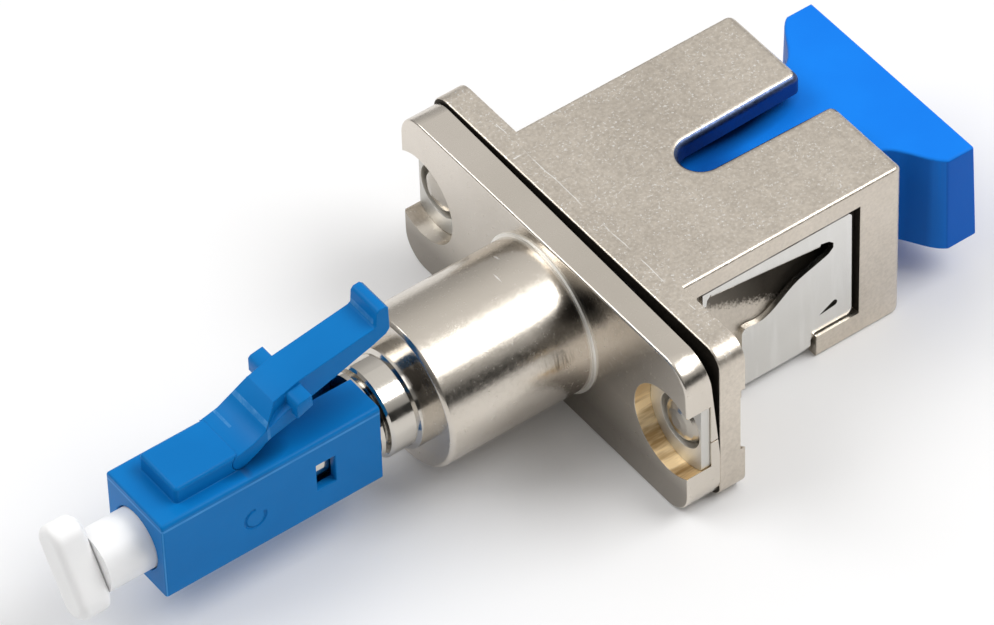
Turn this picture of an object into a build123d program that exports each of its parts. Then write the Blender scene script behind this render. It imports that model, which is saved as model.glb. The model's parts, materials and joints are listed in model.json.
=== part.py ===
import os

from build123d import *

os.makedirs("parts", exist_ok=True)

# Frame: +X along the optical axis out of the SC mouth, +Z up to the keyway, X = 0 where the flanges meet

# socket shell
flange_length = 22.2
shell_height = 9.7
shell_width = 13.0
mouth_x = 14.4
mouth_corner = 0.45
rear_flange_thickness = 1.45
rear_flange_corner = 1.1
shell_corner = 0.18
small_round = 0.13
port_width = 9.2
port_height = 7.5
keyway_width = 2.1
keyway_mouth_width = 2.4
keyway_start = 6.4
keyway_bevel = 0.12
keyway_corner = 0.4
cage_seat_depth = 1.0
cage_seat_margin = 0.4
fit_play = 0.03

# clip and its recess
sheet = 0.3
recess_depth = 0.5
strap_depth = 0.45
recess_start = 2.2
recess_end = 11.85
recess_top = 3.7
recess_bottom = -3.5
strap_start = 5.0
strap_end = 9.1
strap_side_play = 0.2
pocket_low = -0.6
pocket_high = 3.4
pocket_end = 10.7
pocket_wedge = 1.05
lip_bend = 0.2
lip_start_x = 3.2
lip_end_x = 9.7
lip_start_z = 3.15
lip_fall = 0.12
tab_start = 2.7
tab_low = 2.5
tab_step = 0.2
lip_shoulder = 0.3
plate_edge_gap = 0.3
plate_corner = 0.4
swoop_low = -0.45
swoop_start = 0.5
tip_x = 10.15
tip_nose = 0.27
tip_low = 1.45
tip_high = 2.26
clip_slot_length = 1.1
clip_slot_width = 0.42
clip_slot_x = 9.99
clip_slot_z = -2.0

# flange fasteners
rivet_end_margin = 1.7
rivet_radius = 1.0
rivet_head_radius = 1.3
rivet_head_height = 0.72
pocket_radius = 2.7
pocket_depth = 1.4
ring_thickness = 0.5
ring_bore_radius = 1.45
ring_flat_margin = 0.1
spotface_radius = 2.6
spotface_depth = 0.27
tail_head_height = 0.33

# turned front body
front_flange_thickness = 1.93
front_flange_corner = 1.6
barrel_radius = 4.03
barrel_length = 8.2
barrel_chamfer = 0.18
barrel_root_radius = 4.2
barrel_root_width = 0.12
barrel_bore_radius = 2.9
barrel_front_wall = 0.95
joint_gap_centre = -0.1
joint_gap_per_y = -0.022
joint_gap_per_z = 0.1
web_split_z = -0.45
web_split_width = 0.07

# sleeve parts
ferrule_radius = 1.25
sleeve_wall = 0.35
sleeve_reach = 5.8
sleeve_slot = 0.5
holder_radius = 2.2
holder_lip_radius = 1.32
holder_lip = 0.4
holder_flange_width = 1.0
stub_seat_depth = 1.93
stub_holder_length = 2.3
stub_recess = 0.3

# neck
neck_length = 2.17
neck_radius = 2.4
neck_collar_radius = 2.65
neck_collar_width = 0.8
neck_tail_radius = 2.0
neck_spigot_radius = 1.2
neck_spigot_length = 1.5
neck_bore_radius = 0.6

# plug
housing_gap = 0.54
housing_length = 12.18
housing_side = 4.48
housing_height = 4.82
housing_lift = 0.19
housing_corner = 0.22
housing_bore_side = 3.5
housing_front_wall = 1.8
front_bore_radius = 1.65
front_bore_depth = 0.9
nose_bore_radius = 0.95
window_offset = 2.58
window_length = 1.08
window_bottom = -0.62
window_top = 1.05
roof_slot_length = 2.66
roof_slot_near = 0.05
roof_slot_far = 1.15
inner_radius = 1.7
inner_bore_radius = 1.4
inner_front_lip = 0.6
inner_collar_radius = 2.25
inner_collar_width = 0.24
inner_groove_radius = 1.9

# latch lever
latch_setback = 1.35
latch_half_width = 1.46
latch_front_top = 3.56
latch_edge_round = 0.2
mould_mark_offset = 7.11
mould_mark_z = -0.15
mould_mark_radius = 0.62
mould_mark_depth = 0.06
knuckle_offset = 7.16
knuckle_z = 3.07
knuckle_radius = 0.5
knuckle_play = 0.02
arm_half_width = 1.03
ear_half_width = 1.95

# plug ferrule and spring
plug_ferrule_radius = 0.625
plug_ferrule_reach = 1.98
plug_ferrule_length = 6.5
carrier_flange_radius = 1.32
carrier_flange_width = 1.4
carrier_tube_radius = 0.78
carrier_tail = 4.0
spring_wire = 0.26
spring_radius = 1.08
spring_coils = 7
fibre_radius = 0.4
fibre_play = 0.1
fibre_gap = 1.2

# caps
plug_cap_stem_radius = 1.6
plug_cap_grip = 2.48
plug_cap_bar_thickness = 1.7
plug_cap_bar_length = 4.8
plug_cap_bar_width = 2.0
plug_cap_bar_turn = 32.0
plug_cap_bar_lift = 0.2
plug_cap_flat = 1.38
port_cap_inner_x = 5.9
port_cap_height = 5.85
port_cap_top = 3.05
port_cap_draft = 1.5
port_cap_wall = 0.6
port_cap_neck_gap = 0.1
port_cap_waist_half = 3.8
port_cap_flare_length = 2.9
port_cap_bar_thickness = 1.7
port_cap_bar_half = 6.35
port_cap_rib = 0.3

cut_through = 30.0
half_height = shell_height / 2
rivet_y = flange_length / 2 - rivet_end_margin
rear_face = rear_flange_thickness
barrel_front = -front_flange_thickness - barrel_length
pocket_floor = -front_flange_thickness + pocket_depth
stub_holder_start = barrel_front + stub_seat_depth
stub_holder_end = stub_holder_start + stub_holder_length
stub_rear_x = stub_holder_start + stub_recess
neck_start = barrel_front - neck_length
housing_rear = neck_start - housing_gap
housing_front = housing_rear - housing_length
window_end = housing_rear - window_offset
window_start = window_end - window_length
roof_slot_start = housing_rear - roof_slot_length
latch_front = housing_front + latch_setback
mould_mark_x = housing_rear - mould_mark_offset
knuckle_x = housing_rear - knuckle_offset
plug_ferrule_tip = housing_front - plug_ferrule_reach
carrier_end_x = neck_start - carrier_tail
plug_cap_bar_start = housing_front - plug_cap_grip
port_cap_neck_x = mouth_x + port_cap_neck_gap
port_cap_bar_start = port_cap_neck_x + port_cap_flare_length
port_cap_bar_end = port_cap_bar_start + port_cap_bar_thickness


def block(x0, x1, y0, y1, z0, z1):
    box = Box(x1 - x0, y1 - y0, z1 - z0)
    return Pos((x0 + x1) / 2, (y0 + y1) / 2, (z0 + z1) / 2) * box


def slab(x0, x1, width, height, corner):
    outline = Plane.YZ.offset(x0) * RectangleRounded(width, height, corner)
    return extrude(outline, x1 - x0)


def rod(x0, x1, radius, y=0.0, z=0.0):
    outline = Plane.YZ.offset(x0) * Pos(y, z) * Circle(radius)
    return extrude(outline, x1 - x0)


def turned(points):
    outline = Plane.XZ * make_face(Polyline(*points, close=True))
    return revolve(outline, Axis.X)


def side_cut(points, y0, y1):
    outline = Plane.XZ * make_face(Polyline(*points, close=True))
    return Pos(0, y1, 0) * extrude(outline, y1 - y0)


def save(shape, name):
    shape.label = name
    export_step(shape, "parts/" + name + ".step")


# sc_shell
rear_flange = slab(0, rear_flange_thickness, flange_length, shell_height, rear_flange_corner)
rear_flange = fillet(rear_flange.faces().sort_by(Axis.X)[0].edges(), small_round)
shell_body = slab(rear_flange_thickness - 0.4, mouth_x, shell_width, shell_height, shell_corner)
corner_edges = shell_body.edges().filter_by(Axis.Z).sort_by(Axis.X)[-2:]
shell_body = fillet(corner_edges, mouth_corner)
shell = rear_flange + shell_body
shell -= slab(-1, mouth_x + 1, port_width, port_height, 0.3)
seat_width = port_width + 2 * cage_seat_margin
seat_height = port_height + 2 * cage_seat_margin
shell -= slab(-1, cage_seat_depth, seat_width, seat_height, 0.5)
keyway_radius = keyway_width / 2
keyway_middle = keyway_start + keyway_radius


def keyway_outline(margin):
    near_half = keyway_radius + margin
    mouth_half = keyway_mouth_width / 2 + margin
    sides = [
        (keyway_middle, -near_half), (mouth_x + 0.01, -mouth_half), (mouth_x + 0.01, mouth_half),
        (keyway_middle, near_half),
    ]
    return Pos(keyway_middle, 0) * Circle(near_half) + make_face(Polyline(*sides, close=True))


shell -= extrude(Plane.XY.offset(port_height / 2 - 1) * keyway_outline(0), shell_height)
lip_edges = shell.edges().filter_by(Axis.Z).filter_by_position(Axis.X, mouth_x - 0.05, mouth_x + 0.05)
lip_edges = lip_edges.filter_by_position(Axis.Y, -keyway_mouth_width, keyway_mouth_width)
shell = fillet(lip_edges, keyway_corner)
shell -= extrude(Plane.XY.offset(half_height) * keyway_outline(keyway_bevel), -keyway_bevel, taper=45)
recess_floor = shell_width / 2 - recess_depth
strap_floor = half_height - strap_depth
for side in (-1, 1):
    outer = side * (shell_width / 2 + 1)
    inner = side * recess_floor
    low_y, high_y = min(outer, inner), max(outer, inner)
    shell -= block(recess_start, recess_end, low_y, high_y, recess_bottom, recess_top)
strap_space = block(strap_start - strap_side_play, strap_end + strap_side_play, -8, 8, -6, recess_bottom)
strap_core = slab(strap_start - 1, strap_end + 1, 2 * recess_floor, 2 * strap_floor, 0.35)
shell -= strap_space - strap_core
wedge_points = [
    (recess_floor + 1, pocket_low), (recess_floor, pocket_low), (recess_floor - pocket_wedge, pocket_high),
    (recess_floor + 1, pocket_high),
]
wedge_outline = Plane.YZ.offset(recess_start) * make_face(Polyline(*wedge_points, close=True))
wedge = extrude(wedge_outline, pocket_end - recess_start)
shell -= wedge + mirror(wedge, Plane.XZ)
for side in (-1, 1):
    shell -= rod(-1, rear_face + 1, rivet_radius, side * rivet_y)
    shell -= rod(rear_face - spotface_depth, rear_face + 1, spotface_radius, side * rivet_y)
save(shell, "sc_shell")

# mounting_clip
plate_low = recess_bottom + 0.12
plate_high = recess_top - 0.1
lip_end_z = lip_start_z - lip_fall * (lip_end_x - lip_start_x)
plate_end = recess_end - plate_edge_gap
plate_edge = [
    (lip_start_x, lip_start_z), (lip_start_x - 0.25, lip_start_z - lip_shoulder), (tab_start + tab_step, tab_low),
    (tab_start, tab_low), (tab_start, plate_high), (plate_end - 0.05 - plate_corner, plate_high),
    (plate_end - 0.05, plate_high - plate_corner), (plate_end, plate_low + 0.23), (plate_end - 0.2, plate_low),
    (strap_end + 0.25, plate_low), (strap_end, recess_bottom - 0.2), (strap_start, recess_bottom - 0.2),
    (strap_start, swoop_low - 0.25), (strap_start + 0.15, swoop_low - 0.02), (strap_start + swoop_start, swoop_low),
]
swoop = Spline(
    (strap_start + swoop_start, swoop_low), (strap_start + 1.5, swoop_low + 0.05), (strap_start + 2.3, tip_low - 1.33),
    (strap_start + 3.2, tip_low - 0.7), (tip_x - 0.85, tip_low - 0.3), (tip_x, tip_low),
)
tip_edge = [
    (tip_x, tip_low), (tip_x + tip_nose, tip_low + tip_nose), (tip_x + tip_nose, tip_high - 0.24), (tip_x, tip_high),
    (lip_end_x, lip_end_z), (lip_start_x, lip_start_z),
]
plate_face = make_face(Polyline(*plate_edge) + swoop + Polyline(*tip_edge))
clip_outer = slab(strap_start, strap_end, 2 * (recess_floor + sheet), 2 * (strap_floor + sheet), 0.65)
clip_inner = slab(strap_start - 1, strap_end + 1, 2 * recess_floor, 2 * strap_floor, 0.35)
clip = (clip_outer - clip_inner) & block(0, cut_through, -cut_through, cut_through, -cut_through, recess_bottom - 0.2)
hole_slot = Pos(clip_slot_x, clip_slot_z) * Rot(0, 0, 18) * SlotOverall(clip_slot_length, clip_slot_width)
for side in (-1, 1):
    face_y = side * recess_floor
    back_y = side * (recess_floor + sheet)
    low_y, high_y = min(face_y, back_y), max(face_y, back_y)
    plate = Pos(0, high_y, 0) * extrude(Plane.XZ * plate_face, sheet)
    plate -= Pos(0, high_y + 1, 0) * extrude(Plane.XZ * hole_slot, sheet + 2)
    clip += plate
lip_centre_y = recess_floor - lip_bend
lip_ring = Circle(lip_bend + sheet) - Circle(lip_bend)
lip_ring &= Pos(2, -2) * Rectangle(4, 4)
lip_outline = Plane.YZ.offset(lip_start_x) * Pos(lip_centre_y, lip_start_z) * lip_ring
lip = extrude(lip_outline, lip_end_x - lip_start_x, dir=(1, 0, -lip_fall))
clip += lip + mirror(lip, Plane.XZ)
save(clip, "mounting_clip")

# latch_cage
cage_plate_width = seat_width - 2 * fit_play
cage_plate_height = seat_height - 2 * fit_play
cage = slab(0, cage_seat_depth, cage_plate_width, cage_plate_height, 0.45)
arm_points = [
    (0.5, 2.9), (7.7, 2.9), (7.9, 2.45), (8.3, 2.45), (8.7, 3.1), (8.7, 3.5), (8.5, 3.7), (0.5, 3.7),
]
arm_outline = make_face(Polyline(*arm_points, close=True))
hook_arm = Pos(0, 0, -1.5) * extrude(arm_outline, 3.0)
cage += hook_arm + mirror(hook_arm, Plane.XZ)
cage -= rod(-1, 3, holder_radius + fit_play)
save(cage, "latch_cage")

# sleeve_holder
sleeve_radius = ferrule_radius + sleeve_wall
sleeve_seat = sleeve_radius + fit_play
holder_end = sleeve_reach + 0.1 + holder_lip
holder = turned([
    (stub_holder_end, sleeve_seat), (stub_holder_end, holder_radius), (-holder_flange_width, holder_radius),
    (-holder_flange_width, barrel_bore_radius), (0, barrel_bore_radius), (0, holder_radius),
    (holder_end - 0.25, holder_radius), (holder_end, holder_radius - 0.25), (holder_end, holder_lip_radius),
    (holder_end - holder_lip, holder_lip_radius), (holder_end - holder_lip, sleeve_seat),
])
save(holder, "sleeve_holder")

# split_sleeve
sleeve = rod(stub_holder_end, sleeve_reach, sleeve_radius) - rod(-cut_through, cut_through, ferrule_radius)
sleeve -= block(-cut_through, cut_through, -sleeve_slot / 2, sleeve_slot / 2, 0, cut_through)
save(sleeve, "split_sleeve")

# stub_ferrule
stub = rod(stub_rear_x, 0, ferrule_radius)
stub = chamfer(stub.edges().sort_by(Axis.X)[-1], 0.25)
save(stub, "stub_ferrule")

# stub_holder
stub_holder = rod(stub_holder_start, stub_holder_end, barrel_bore_radius)
stub_holder -= rod(stub_rear_x, 0, ferrule_radius)
stub_holder -= rod(-cut_through, 0, fibre_radius)
save(stub_holder, "stub_holder")

# front_body
front_flange = slab(-front_flange_thickness, 0, flange_length, shell_height, front_flange_corner)
front_flange = fillet(front_flange.faces().sort_by(Axis.X)[0].edges(), small_round)
barrel = turned([
    (barrel_front, 0), (barrel_front, barrel_radius - barrel_chamfer),
    (barrel_front + barrel_chamfer, barrel_radius), (-front_flange_thickness - barrel_root_width, barrel_radius),
    (-front_flange_thickness - barrel_root_width, barrel_root_radius), (-1, barrel_root_radius), (-1, 0),
])
front_body = front_flange + barrel
front_body -= rod(barrel_front + barrel_front_wall, 1, barrel_bore_radius)
front_body -= rod(barrel_front - 1, 0, neck_tail_radius)
for side in (-1, 1):
    front_body -= rod(-front_flange_thickness - 1, 1, rivet_radius, side * rivet_y)
    front_body -= rod(-front_flange_thickness - 1, pocket_floor, pocket_radius, side * rivet_y)
joint_plane = Plane(origin=(-joint_gap_centre, 0, 0), z_dir=(1, joint_gap_per_y, joint_gap_per_z))
joint_cut = joint_plane * Box(2 * cut_through, 2 * cut_through, 5, align=(Align.CENTER, Align.CENTER, Align.MIN))
front_body -= joint_cut
split_far_y = -rivet_y - ring_bore_radius
web_split = block(pocket_floor - 0.1, 1, -flange_length, split_far_y, web_split_z, web_split_z + web_split_width)
front_body -= web_split
save(front_body, "front_body")

# rivets and pocket rings
for side, label in ((-1, "near"), (1, "far")):
    centre_y = side * rivet_y
    rivet = turned([
        (pocket_floor - rivet_head_height, 0), (pocket_floor - rivet_head_height, 0.35),
        (pocket_floor - 0.9 * rivet_head_height, 0.72), (pocket_floor - 0.7 * rivet_head_height, 1.02),
        (pocket_floor - 0.4 * rivet_head_height, 1.23), (pocket_floor - 0.15, rivet_head_radius),
        (pocket_floor, rivet_head_radius), (pocket_floor, rivet_radius),
        (rear_face - spotface_depth, rivet_radius), (rear_face - spotface_depth, rivet_head_radius),
        (rear_face - spotface_depth + 0.1, rivet_head_radius),
        (rear_face - spotface_depth + 0.75 * tail_head_height, 0.85),
        (rear_face - spotface_depth + tail_head_height, 0.4), (rear_face - spotface_depth + tail_head_height, 0),
    ])
    save(Pos(0, centre_y, 0) * rivet, "rivet_" + label)
    ring = rod(pocket_floor - ring_thickness, pocket_floor, pocket_radius - fit_play, centre_y)
    ring -= rod(-cut_through, cut_through, ring_bore_radius, centre_y)
    edge_y = flange_length / 2 - ring_flat_margin
    low_y, high_y = (-edge_y, 0) if side < 0 else (0, edge_y)
    ring &= block(-cut_through, cut_through, low_y, high_y, -cut_through, cut_through)
    save(ring, "pocket_ring_" + label)

# neck_tube
neck = turned([
    (neck_start - neck_spigot_length, neck_bore_radius), (neck_start - neck_spigot_length, neck_spigot_radius),
    (neck_start, neck_spigot_radius), (neck_start, neck_radius - 0.12), (neck_start + 0.12, neck_radius),
    (barrel_front - neck_collar_width, neck_radius), (barrel_front - neck_collar_width + 0.1, neck_collar_radius),
    (barrel_front, neck_collar_radius), (barrel_front, neck_tail_radius),
    (stub_holder_start, neck_tail_radius), (stub_holder_start, neck_bore_radius),
])
save(neck, "neck_tube")

# neck_nut
nut_start = barrel_front + barrel_front_wall
nut_outline = RegularPolygon(barrel_bore_radius - fit_play, 6)
nut = extrude(Plane.YZ.offset(nut_start) * nut_outline, stub_holder_start - nut_start)
nut -= rod(-cut_through, 0, neck_tail_radius)
save(nut, "neck_nut")

# lc_inner_body
inner_front = housing_front + housing_front_wall + 0.1
inner_body = turned([
    (inner_front, nose_bore_radius), (inner_front, inner_radius - 0.15), (inner_front + 0.15, inner_radius),
    (housing_rear, inner_radius), (housing_rear, inner_collar_radius),
    (housing_rear + inner_collar_width, inner_collar_radius), (housing_rear + inner_collar_width, inner_groove_radius),
    (neck_start, inner_groove_radius), (neck_start, neck_spigot_radius),
    (neck_start - neck_spigot_length, neck_spigot_radius), (neck_start - neck_spigot_length, inner_bore_radius),
    (inner_front + inner_front_lip, inner_bore_radius), (inner_front + inner_front_lip, nose_bore_radius),
])
save(inner_body, "lc_inner_body")

# lc_housing
housing = Pos(0, 0, housing_lift) * slab(housing_front, housing_rear, housing_side, housing_height, housing_corner)
housing = fillet(housing.faces().sort_by(Axis.X)[0].edges(), 0.12)
block_end = knuckle_x + 0.35
latch_block_points = [
    (latch_front, 2.0), (latch_front, latch_front_top), (block_end, knuckle_z + knuckle_radius),
    (block_end, 2.0),
]
latch_block = side_cut(latch_block_points, -latch_half_width, latch_half_width)
front_edges = latch_block.edges().filter_by(Axis.Z).sort_by(Axis.X)[:2]
top_edges = latch_block.faces().sort_by(Axis.Z)[-1].edges().sort_by(Axis.X)[:-1]
latch_block = fillet(front_edges + top_edges, latch_edge_round)
knuckle_space = Pos(knuckle_x, 0, knuckle_z) * Rot(90, 0, 0) * Cylinder(knuckle_radius + knuckle_play, 6)
latch_block -= block(knuckle_x, 0, -3, 3, 0, 9)
housing += latch_block
housing -= knuckle_space
housing -= slab(housing_front + housing_front_wall, 0, housing_bore_side, housing_bore_side, 0.25)
housing -= rod(housing_front - 1, housing_front + front_bore_depth, front_bore_radius)
housing -= rod(housing_front - 1, 0, nose_bore_radius)
for side in (-1, 1):
    low_y, high_y = (-3, -1) if side < 0 else (1, 3)
    housing -= block(window_start, window_end, low_y, high_y, window_bottom, window_top)
housing -= block(roof_slot_start, 0, roof_slot_near, roof_slot_far, 1.0, 4.0)
mark_ring = Circle(mould_mark_radius) - Circle(mould_mark_radius - 0.12)
mark_ring -= Pos(0.3, 0.6) * Rectangle(0.6, 0.8)
mark_place = Plane.XZ.offset(housing_side / 2) * Pos(mould_mark_x, mould_mark_z)
housing -= extrude(mark_place * mark_ring, -mould_mark_depth)
save(housing, "lc_housing")

# lc_latch_lever
# lever outlines start at the knuckle, X = 0 on its axis
lever_points = [
    (0, knuckle_z + knuckle_radius), (0.7, 3.74), (1.42, 4.13), (2.17, 5.21), (3.57, 5.67),
    (7.85, 6.33), (8.0, 6.45), (8.05, 7.15), (8.2, 7.34), (8.55, 7.36), (8.73, 7.2),
    (8.76, 5.85), (8.55, 5.6), (7.81, 5.3), (4.5, 4.25), (3.0, 3.85), (1.76, 3.5),
    (0.8, 2.95), (0.3, knuckle_z - knuckle_radius + 0.12), (0, knuckle_z - knuckle_radius),
]
wide_part = side_cut(lever_points, -latch_half_width, latch_half_width)
wide_part += Pos(0, 0, knuckle_z) * Rot(90, 0, 0) * Cylinder(knuckle_radius, 2 * latch_half_width)
plan_points = [
    (-2.0, -latch_half_width), (1.42, -latch_half_width), (2.2, -arm_half_width), (9.0, -arm_half_width),
    (9.0, arm_half_width), (2.2, arm_half_width), (1.42, latch_half_width), (-2.0, latch_half_width),
]
plan_outline = make_face(Polyline(*plan_points, close=True))
lever = wide_part & extrude(plan_outline, 12)
gusset_points = [(1.4, 3.35), (1.4, 4.05), (2.85, 4.8), (3.5, 4.85), (3.5, 3.98), (3.0, 3.85), (1.76, 3.5)]
lever += side_cut(gusset_points, -latch_half_width, latch_half_width)
ear_points = [(2.85, 4.4), (2.85, 5.2), (3.0, 5.34), (3.7, 5.45), (3.75, 4.75)]
lever += side_cut(ear_points, -ear_half_width, ear_half_width)
save(Pos(knuckle_x, 0, 0) * lever, "lc_latch_lever")

# lc_ferrule
plug_ferrule = rod(plug_ferrule_tip, plug_ferrule_tip + plug_ferrule_length, plug_ferrule_radius)
plug_ferrule = chamfer(plug_ferrule.edges().sort_by(Axis.X)[0], 0.15)
save(plug_ferrule, "lc_ferrule")

# ferrule_carrier
carrier_front = inner_front + inner_front_lip
carrier_step = carrier_front + carrier_flange_width
ferrule_end = plug_ferrule_tip + plug_ferrule_length
carrier = turned([
    (carrier_front, plug_ferrule_radius), (carrier_front, carrier_flange_radius), (carrier_step, carrier_flange_radius),
    (carrier_step, carrier_tube_radius), (carrier_end_x, carrier_tube_radius),
    (carrier_end_x, fibre_radius + fibre_play), (ferrule_end, fibre_radius + fibre_play),
    (ferrule_end, plug_ferrule_radius),
])
save(carrier, "ferrule_carrier")

# ferrule_spring
spring_start = carrier_step + spring_wire / 2
spring_end = neck_start - neck_spigot_length - spring_wire / 2
spring_length = spring_end - spring_start
spring_path = Helix(pitch=spring_length / spring_coils, height=spring_length, radius=spring_radius)
spring_section = Plane(origin=spring_path @ 0, z_dir=spring_path % 0) * Circle(spring_wire / 2)
spring = sweep(spring_section, path=spring_path)
spring = Pos(spring_start, 0, 0) * Rot(0, 90, 0) * spring
save(spring, "ferrule_spring")

# fibre_core
fibre = rod(ferrule_end + fibre_gap, stub_rear_x, fibre_radius)
save(fibre, "fibre_core")

# lc_dust_cap
stem_end = housing_front + front_bore_depth
stem = rod(plug_cap_bar_start, stem_end, plug_cap_stem_radius - fit_play)
stem -= block(plug_cap_bar_start, housing_front - 0.6, -3, 3, -3, -plug_cap_flat)
bar_outline = RectangleRounded(plug_cap_bar_width, plug_cap_bar_length, 0.85)
bar_place = Plane.YZ.offset(plug_cap_bar_start - plug_cap_bar_thickness) * Rot(0, 0, -plug_cap_bar_turn)
bar = extrude(bar_place * Pos(0, plug_cap_bar_lift) * bar_outline, plug_cap_bar_thickness)
bar = fillet(bar.faces().sort_by(Axis.X)[0].edges() + bar.faces().sort_by(Axis.X)[-1].edges(), 0.4)
plug_cap = stem + bar
plug_cap -= rod(plug_ferrule_tip - 0.4, 0, plug_ferrule_radius + fit_play)
save(plug_cap, "lc_dust_cap")

# sc_dust_cap
cap_half_width = port_width / 2 - fit_play
cap_bottom = port_cap_top - port_cap_height
cap_middle = port_cap_top - port_cap_height / 2
cap_plug = Pos(0, 0, cap_middle) * slab(port_cap_inner_x, port_cap_neck_x, 2 * cap_half_width, port_cap_height, 0.5)
flare_middle = (port_cap_waist_half + port_cap_bar_half) / 2
flare_middle_x = port_cap_bar_start - 0.37 * (port_cap_bar_start - port_cap_neck_x)
near_flare = Spline(
    (port_cap_neck_x - 0.3, -port_cap_waist_half), (port_cap_neck_x + 0.8, -port_cap_waist_half - 0.03),
    (flare_middle_x, -flare_middle), (port_cap_bar_start, -port_cap_bar_half),
)
far_flare = mirror(near_flare, Plane.XZ)
flare_edges = Polyline(
    (port_cap_bar_start, -port_cap_bar_half), (port_cap_bar_end, -port_cap_bar_half),
    (port_cap_bar_end, port_cap_bar_half), (port_cap_bar_start, port_cap_bar_half),
)
flare_root = Line((port_cap_neck_x - 0.3, port_cap_waist_half), (port_cap_neck_x - 0.3, -port_cap_waist_half))
flare_face = make_face(near_flare + flare_edges + far_flare + flare_root)
cap_flare = extrude(Plane.XY.offset(cap_bottom) * flare_face, port_cap_height, taper=port_cap_draft)
cap_flare = fillet(cap_flare.faces().sort_by(Axis.Z)[-1].edges().sort_by(Axis.X)[1:], 0.15)
port_cap = cap_plug + cap_flare
hollow_width = 2 * (cap_half_width - port_cap_wall)
hollow_height = port_cap_height - 2 * port_cap_wall
port_cap -= Pos(0, 0, cap_middle) * slab(0, port_cap_neck_x - 1.5, hollow_width, hollow_height, 0.4)
rib_reach = port_height / 2 - fit_play
for rib_y in (-3.4, 3.4):
    low_y, high_y = rib_y - port_cap_rib, rib_y + port_cap_rib
    rib_start, rib_end = port_cap_inner_x + 0.4, port_cap_neck_x - 0.6
    port_cap += block(rib_start, rib_end, low_y, high_y, port_cap_top - 0.3, rib_reach)
    port_cap += block(rib_start, rib_end, low_y, high_y, -rib_reach, cap_bottom + 0.3)
save(port_cap, "sc_dust_cap")
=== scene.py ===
import json
import math

import bpy
from mathutils import Matrix, Vector

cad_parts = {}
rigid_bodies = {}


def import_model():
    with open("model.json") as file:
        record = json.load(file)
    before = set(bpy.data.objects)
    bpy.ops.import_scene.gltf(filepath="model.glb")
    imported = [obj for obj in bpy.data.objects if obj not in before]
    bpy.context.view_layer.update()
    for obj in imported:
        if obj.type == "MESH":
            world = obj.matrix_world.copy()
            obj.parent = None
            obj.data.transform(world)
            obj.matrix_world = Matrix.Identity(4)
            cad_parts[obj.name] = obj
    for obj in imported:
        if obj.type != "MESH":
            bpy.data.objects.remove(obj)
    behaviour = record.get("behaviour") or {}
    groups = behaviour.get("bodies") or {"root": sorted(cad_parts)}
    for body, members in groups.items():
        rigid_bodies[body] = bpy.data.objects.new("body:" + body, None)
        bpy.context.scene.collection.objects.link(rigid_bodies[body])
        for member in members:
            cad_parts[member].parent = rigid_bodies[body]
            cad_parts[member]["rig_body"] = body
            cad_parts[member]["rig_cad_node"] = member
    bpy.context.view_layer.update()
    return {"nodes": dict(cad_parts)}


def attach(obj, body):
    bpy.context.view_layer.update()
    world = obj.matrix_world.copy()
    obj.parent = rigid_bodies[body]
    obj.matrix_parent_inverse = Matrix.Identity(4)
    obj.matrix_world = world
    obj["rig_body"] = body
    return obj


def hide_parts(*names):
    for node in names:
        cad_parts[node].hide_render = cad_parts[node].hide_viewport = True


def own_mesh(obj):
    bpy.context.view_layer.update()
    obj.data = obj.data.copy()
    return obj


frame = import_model()
nodes = frame["nodes"]
mm = 0.001  # places and sizes in the settings below are in mm, unless a note says otherwise


print("frame loaded:", len(nodes), "nodes")


# helpers for the shader trees

def newGroup(name, inputs, outputs):
    group = bpy.data.node_groups.new(name, "ShaderNodeTree")
    for label, kind, value in inputs:
        socket = group.interface.new_socket(name=label, in_out="INPUT", socket_type=kind)
        if value is not None:
            socket.default_value = value
    for label, kind in outputs:
        group.interface.new_socket(name=label, in_out="OUTPUT", socket_type=kind)
    return group, group.nodes.new("NodeGroupInput"), group.nodes.new("NodeGroupOutput")


def addNode(tree, kind, **settings):
    node = tree.nodes.new(kind)
    for key, value in settings.items():
        setattr(node, key, value)
    return node


def feed(tree, socket, value):
    # a number is set on the socket, anything else is linked to it
    if isinstance(value, (int, float)):
        socket.default_value = value
    else:
        tree.links.new(value, socket)


def mathNode(tree, operation, first, second=None, clamp=False):
    node = addNode(tree, "ShaderNodeMath", operation=operation, use_clamp=clamp)
    feed(tree, node.inputs[0], first)
    if second is not None:
        feed(tree, node.inputs[1], second)
    return node.outputs[0]


def times(tree, first, second):
    return mathNode(tree, "MULTIPLY", first, second)


def plus(tree, first, second):
    return mathNode(tree, "ADD", first, second)


def minus(tree, first, second):
    return mathNode(tree, "SUBTRACT", first, second)


def sizeOf(tree, value):
    return mathNode(tree, "ABSOLUTE", value)


def distanceFrom(tree, first, second):
    squares = plus(tree, times(tree, first, first), times(tree, second, second))
    return mathNode(tree, "SQRT", squares)


def inMm(ends):
    return tuple(end * mm for end in ends)


def mapRange(tree, value, source, target=(0.0, 1.0)):
    node = addNode(tree, "ShaderNodeMapRange", clamp=True)
    tree.links.new(value, node.inputs["Value"])
    for label, number in zip(("From Min", "From Max", "To Min", "To Max"), (*source, *target)):
        node.inputs[label].default_value = number
    return node.outputs["Result"]


def noiseNode(tree, vector, scale, detail=4.0, rough=0.55):
    node = addNode(tree, "ShaderNodeTexNoise")
    tree.links.new(vector, node.inputs["Vector"])
    feed(tree, node.inputs["Scale"], scale)
    node.inputs["Detail"].default_value = detail
    node.inputs["Roughness"].default_value = rough
    return node.outputs["Fac"]


def axesOf(tree, vector):
    split = addNode(tree, "ShaderNodeSeparateXYZ")
    tree.links.new(vector, split.inputs["Vector"])
    return split.outputs["X"], split.outputs["Y"], split.outputs["Z"]


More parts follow.
